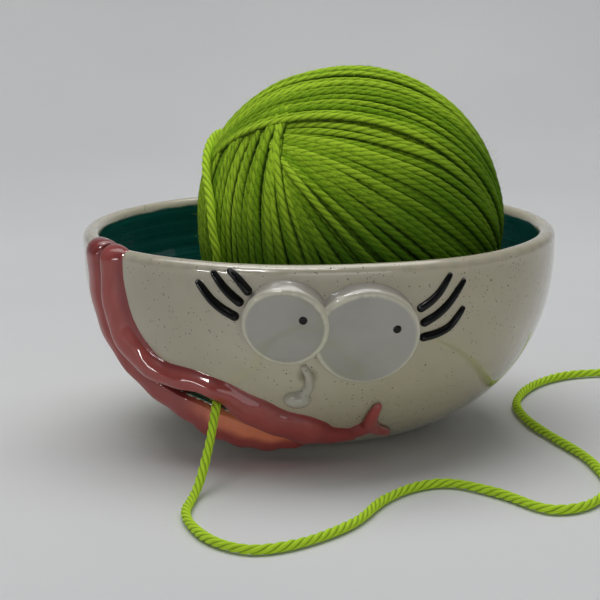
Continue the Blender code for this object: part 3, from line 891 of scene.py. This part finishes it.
def winding_turn(axis, share, depth, random):
    """One closed turn of yarn round this axis; `share` says how far through the winding it is."""
    steps = int(2 * math.pi * BALL_RADIUS / WINDING_STEP)
    angle = np.linspace(0, 2 * math.pi, steps, endpoint=False)
    first = unit(np.cross(axis, WINDING_POLE))
    second = np.cross(axis, first)
    phase = random.uniform(0, 2 * math.pi, 3)
    drift = 0.012 * np.sin(2 * angle + phase[0]) + 0.006 * np.sin(3 * angle + phase[1])
    circle = np.cos(angle)[:, None] * first + np.sin(angle)[:, None] * second
    direction = unit(circle + drift[:, None] * axis)
    tuck = next(tuck for end, tuck in TUCKS if share < end)
    near_pole = smoothstep(0.45, 0.85, np.abs(direction @ WINDING_POLE))
    sway = 0.00045 * np.sin(2 * angle + phase[2]) + random.uniform(-0.0008, 0.0003)
    return on_ball(direction, sway - tuck * near_pole - 0.7 * YARN_RADIUS - depth), direction


def yarn_mesh(name, lines, outwards, random, sides, closed, lobe, radius):
    """Twisted plied strands swept along lines; `outwards` gives a side direction at each point and
    `lobe` is how deep the grooves between plies are, as a share of the strand's radius."""
    points, faces, crests, opens, shades, uvs = [], [], [], [], [], []
    ply_turn = 2 * math.pi * np.arange(sides) / sides
    bulge = np.sqrt(0.5 + 0.5 * np.cos(PLIES * ply_turn))
    profile = radius * (1 + 0.04 - lobe + lobe * bulge)
    start = 0
    for line, outward in zip(lines, outwards):
        gone = gone_along(line)
        total = gone[-1] + (gone[1] if closed else 0)
        turns = round(total / TWIST_PITCH) if closed else total / TWIST_PITCH
        angle = ply_turn - (2 * math.pi * turns * gone / total)[:, None]
        reach = profile * swelling(len(line), total, random)[:, None]
        points.append(ring_points(line, outward, angle, reach, closed))
        faces += ring_faces(len(line), sides, start, closed)
        uvs.append(ring_uvs(np.append(gone, total) if closed else gone, sides, closed))
        # Crests of the plies, read by the wool's painted shade between plies.
        crests.append(np.tile(bulge, len(line)))
        # How far each point faces out of the ball, read by the wool's painted shade; a loose strand
        # faces out all round.
        opens.append(np.cos(angle).ravel() if closed else np.ones(angle.size))
        # A loose strand is set paler than any wound turn: painted light.
        shades.append(np.full(angle.size, random.uniform(0, 1) if closed else LOOSE_PAINTED_LIGHT))
        start += angle.size
    obj = mesh_object(name, np.vstack(points), faces)
    layer = obj.data.uv_layers.new(name="along")
    layer.data.foreach_set("uv", np.vstack(uvs).astype(np.float32).ravel())
    store(obj, "crest", np.concatenate(crests))
    store(obj, "open", np.concatenate(opens))
    store(obj, "shade", np.concatenate(shades))
    store_evenly(obj, wound=float(closed))
    return obj


def swelling(count, length, random):
    """How much thicker or thinner than usual a strand is at each of its points."""
    cycles = 2 * math.pi * np.arange(count) / count * max(1, round(length / 0.03))
    return 1 + 0.04 * np.sin(cycles + random.uniform(0, 6)) + random.uniform(-0.12, 0.04)


def ring_points(line, outward, angle, reach, closed):
    """Rings of points round the line, at these angles from `outward` and this far from the line."""
    if closed:
        tangent = unit(np.roll(line, -1, axis=0) - np.roll(line, 1, axis=0))
    else:
        tangent = unit(np.gradient(line, axis=0))
    side = unit(outward - (outward * tangent).sum(1, keepdims=True) * tangent)[:, None]
    other = np.cross(tangent, side[:, 0])[:, None]
    ring = np.cos(angle)[..., None] * side + np.sin(angle)[..., None] * other
    return (line[:, None] + ring * reach[..., None]).reshape(-1, 3)


def ring_uvs(gone, sides, closed):
    """A place for each corner of each face: round the strand, and metres along it."""
    i = np.arange(sides)
    uv = np.empty((len(gone) - 1, sides, 4, 2))
    uv[..., 0] = np.stack([i, i + 1, i + 1, i], axis=-1) / sides
    uv[..., 1] = np.stack([gone[:-1], gone[:-1], gone[1:], gone[1:]], axis=-1)[:, None]
    ends = np.zeros((0 if closed else 2 * sides, 2))
    return np.vstack([uv.reshape(-1, 2), ends])


def make_ball(yarn):
    """The wound ball: one long family of turns over an under-layer and a plain core."""
    path = unit(smooth_line(WINDING_AXES, 30))
    count = int(line_length(path) * BALL_RADIUS / STRAND_SPACING)
    axes = unit(evenly(path, count))
    random = np.random.default_rng(7)
    layers = (("under", 0.0024, 8, 2, (0.05, -0.04, 0.05)), ("over", 0.0, 16, 4, (0, 0, 0)))
    for layer, depth, sides, batches, lean in layers:
        turns = []
        for k, axis in enumerate(axes):
            axis = unit(axis + np.array(lean) + random.normal(0, 0.007, 3))
            turns.append(winding_turn(axis, k / count, depth, random))
        for batch in range(batches):
            part = turns[batch * count // batches:(batch + 1) * count // batches]
            lines, outwards = zip(*part)
            piece = yarn_mesh(f"ball_{layer}_{batch + 1}", lines, outwards, random, sides=sides,
                              closed=True, lobe=0.12, radius=WOUND_RADIUS)
            finish_piece(piece, yarn, "yarn_ball", *(["yarn_ball"] if batch == 0 else []))
    core = copy_of("yarn_ball", "ball_core")
    move_points(core, BALL_MIDDLE + (points_of(core) - BALL_MIDDLE) * 0.90)
    core.data.shade_smooth()
    # The core has no ply crests and no open side, so the wool draws it wholly in painted shade.
    store_evenly(core, crest=0, open=0, wound=1, shade=0)
    core.data.uv_layers.new(name="along")
    finish_piece(core, yarn, "yarn_ball")


def make_ball_fibres(yarn):
    """Loose fibres that stand off the ball: thin, bent, closed cones."""
    random = np.random.default_rng(11)
    outward = unit(random.normal(0, 1, (FIBRE_COUNT, 3)))
    roots = on_ball(outward, np.full(FIBRE_COUNT, -0.0008))
    lean = unit(outward + random.normal(0, 0.9, outward.shape))
    bend = random.normal(0, 0.45, outward.shape)
    length = random.uniform(0.0012, FIBRE_LENGTH, (FIBRE_COUNT, 1))
    first = unit(np.cross(lean, (0.31, 0.52, 0.79)))
    second = np.cross(lean, first)
    points = []
    for share in np.linspace(0, 1, FIBRE_RINGS):
        centre = roots + length * share * (lean + bend * share)
        for turn in np.linspace(0, 2 * math.pi, FIBRE_SIDES, endpoint=False):
            away = math.cos(turn) * first + math.sin(turn) * second
            points.append(centre + away * FIBRE_RADIUS * (1 - 0.8 * share))
    points = np.stack(points, axis=1).reshape(-1, 3)
    faces = []
    for start in range(0, len(points), FIBRE_RINGS * FIBRE_SIDES):
        faces += ring_faces(FIBRE_RINGS, FIBRE_SIDES, start)
    fluff = mesh_object("ball_fibres", points, faces)
    store_evenly(fluff, crest=1, open=1, wound=1, shade=1)
    fluff.data.uv_layers.new(name="along")
    finish_piece(fluff, yarn, "yarn_ball")


def centre_line(node):
    """The centre of each ring of a CAD strand, from the join outwards."""
    return np.array([ring.mean(axis=0) for ring in rings_of(node, STRAND_JOIN, STRAND_SIDES)])


def carried_sides(line):
    """A side direction for each point that turns as little as it can along the line."""
    tangent = unit(np.gradient(line, axis=0))
    side = np.cross(tangent[0], (0.3, 0.5, 0.8))
    sides = []
    for direction in tangent:
        side = side - (side @ direction) * direction
        side = side / np.linalg.norm(side)
        sides.append(side)
    return np.array(sides)


def make_strand(name, node, line, yarn):
    """A loose length of yarn, its plies standing out, with a little waviness."""
    line = evenly(smooth_line(line, 4), int(line_length(line) / STRAND_STEP))
    strand = yarn_mesh(name, [line], [carried_sides(line)], np.random.default_rng(3), sides=24,
                       closed=False, lobe=0.30, radius=YARN_RADIUS)
    yarn.dress(strand)
    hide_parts(node)
    return strand


def make_strands(yarn):
    """The loose strand, from among the ball's windings down to the join and out through the mouth.
    Near the ball's top it rests on the windings."""
    join = np.array(STRAND_JOIN)
    down = centre_line("lead_strand")[::-1]
    resting = on_ball(unit(down - BALL_MIDDLE), np.full(len(down), YARN_RADIUS))
    down += (resting - down) * smoothstep(RIM_HEIGHT, RIM_HEIGHT + 0.020, down[:, 2:])
    tucked = down[:1] + (BALL_MIDDLE - down[0]) * 0.10
    lead = make_strand("yarn_lead", "lead_strand", np.vstack([tucked, down[:-1], join]), yarn)
    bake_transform(lead)
    out = centre_line("working_strand")
    working = make_strand("yarn_working", "working_strand", np.vstack([join, out[1:]]), yarn)
    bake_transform(working)


# ---------------- stage, light, camera

BOWL_MIDDLE = Vector((0.0, 0.0, 0.06))


def make_stage():
    """A pale paper sweep: table, a wide bend and a back wall."""
    width, front, back, bend, top = 3.0, -1.6, 1.3, 0.7, 2.2
    outline = [(front, 0.0), (back - bend, 0.0)]
    for step in range(1, 17):
        angle = math.radians(90 * step / 16)
        outline.append((back - bend + bend * math.sin(angle), bend * (1 - math.cos(angle))))
    outline.append((back, top))
    points = [(x, y, z) for y, z in outline for x in (-width, width)]
    faces = [(2 * i, 2 * i + 1, 2 * i + 3, 2 * i + 2) for i in range(len(outline) - 1)]
    sweep = mesh_object("paper_sweep", points, faces)
    shader = Shader("paper", Roughness=0.75)
    place = shader.position()
    shade = shader.spread(shader.noise(place, 3.0), 0.3, 0.7)
    paper = shader.mix(shade, (0.70, 0.705, 0.715), (0.75, 0.755, 0.76))
    shader.put(shader.principled, {"Base_Color": paper})
    shader.bump(shader.noise(place, 60.0, 4.0), 0.05, 0.002)
    sweep.data.materials.append(shader.material)


def area_light(name, place, size, power, colour=(1, 1, 1), diffuse=True):
    """A rectangular light that faces the bowl; without diffuse it only draws highlights."""
    light = bpy.data.lights.new(name, "AREA")
    light.shape = "RECTANGLE"
    light.size, light.size_y = size
    light.energy = power
    light.color = colour
    obj = bpy.data.objects.new(name, light)
    obj.location = place
    obj.rotation_mode = "QUATERNION"
    obj.rotation_quaternion = (BOWL_MIDDLE - Vector(place)).to_track_quat("-Z", "Y")
    obj.visible_diffuse = diffuse
    bpy.context.scene.collection.objects.link(obj)


def make_lights():
    """A broad soft light overhead, a faint one in front, and three small ones for the glaze's
    highlights."""
    area_light("overhead", (-0.10, 0.25, 1.30), (1.5, 1.2), 12.0, (1.0, 0.995, 0.985))
    area_light("front_strip", (-0.20, -0.20, 1.15), (0.9, 0.022), 3.2, diffuse=False)
    area_light("front_fill", (0.15, -1.00, 0.20), (0.9, 0.30), 1.3)
    area_light("left_strip", (-0.90, -0.85, 0.14), (0.45, 0.025), 2.2, diffuse=False)
    area_light("window", (-0.55, -0.75, 0.80), (0.30, 0.05), 4.0, diffuse=False)


def make_room():
    """A room that is pale above and behind the bowl but dim on the camera's side."""
    world = bpy.data.worlds.new("room")
    world.use_nodes = True
    tree = world.node_tree
    direction = tree.nodes.new("ShaderNodeTexCoord").outputs["Generated"]
    facing = tree.nodes.new("ShaderNodeVectorMath")
    facing.operation = "DOT_PRODUCT"
    facing.inputs[1].default_value = (0.0, 0.75, 0.66)
    tree.links.new(direction, facing.inputs[0])
    fade = tree.nodes.new("ShaderNodeMapRange")
    fade.interpolation_type = "SMOOTHSTEP"
    limits = {"From Min": -0.5, "From Max": 0.8, "To Min": 0.06, "To Max": 0.34}
    for name, value in limits.items():
        fade.inputs[name].default_value = value
    tree.links.new(facing.outputs["Value"], fade.inputs["Value"])
    background = tree.nodes["Background"]
    background.inputs["Color"].default_value = (0.92, 0.94, 0.97, 1.0)
    tree.links.new(fade.outputs["Result"], background.inputs["Strength"])
    bpy.context.scene.world = world


def make_camera():
    """Square on to the face, a little left of the middle, looking down at 11 degrees. The view
    transform is Standard, which shows colours as they are."""
    camera = bpy.data.cameras.new("camera")
    camera.sensor_width = 36.0
    camera.lens = 128.5
    obj = bpy.data.objects.new("camera", camera)
    obj.location = (-0.00726, -0.810, RIM_HEIGHT + 0.1335)
    pitch, roll = math.radians(11.385), math.radians(0.44)
    turned = Matrix.Rotation(math.pi / 2 - pitch, 3, "X") @ Matrix.Rotation(-roll, 3, "Z")
    obj.rotation_mode = "QUATERNION"
    obj.rotation_quaternion = turned.to_quaternion()
    bpy.context.scene.collection.objects.link(obj)
    bpy.context.scene.camera = obj
    bpy.context.scene.view_settings.view_transform = "Standard"


# ---------------- assembly

def dress_scene():
    """Makes every piece, then the stage, the lights and the camera."""
    cream = glazed("nose_glaze", "cream_glaze", thin=(0.46, 0.44, 0.37), thick=(0.36, 0.34, 0.27),
                   edge=(0.54, 0.51, 0.40), specks=True)
    # The white glaze is drawn grey, darker than the cream bowl: painted shade, as the eyes face down
    # and get little light.
    white = glazed("white_glaze", "white_glaze", thin=(0.41, 0.39, 0.35), thick=(0.36, 0.34, 0.30),
                   edge=(0.86, 0.83, 0.60))
    black = glazed("black_glaze", "black_glaze", thin=(0.002, 0.002, 0.002),
                   thick=(0.003, 0.003, 0.003), edge=(0.003, 0.003, 0.003), shine=0.30, roughness=0.12)
    pink = pink_glaze()
    yarn = wool(pale=(0.56, 0.84, 0.040), deep=(0.20, 0.40, 0.003))
    make_bowl(bowl_glaze())
    make_lower_lip(pink)
    make_upper_lip(pink)
    make_eye("right", white, top=0.0050, tilt=0.0012, lean=0.0006)
    make_eye("left", white, top=0.0054, tilt=0.0011, lean=0.0004)
    make_pupil("left", black, base=0.0053)
    make_pupil("right", black, base=0.0051)
    make_lashes(black)
    make_nose(cream)
    make_ball(yarn)
    make_ball_fibres(yarn)
    make_strands(yarn)
    make_stage()
    make_lights()
    make_room()
    make_camera()


dress_scene()
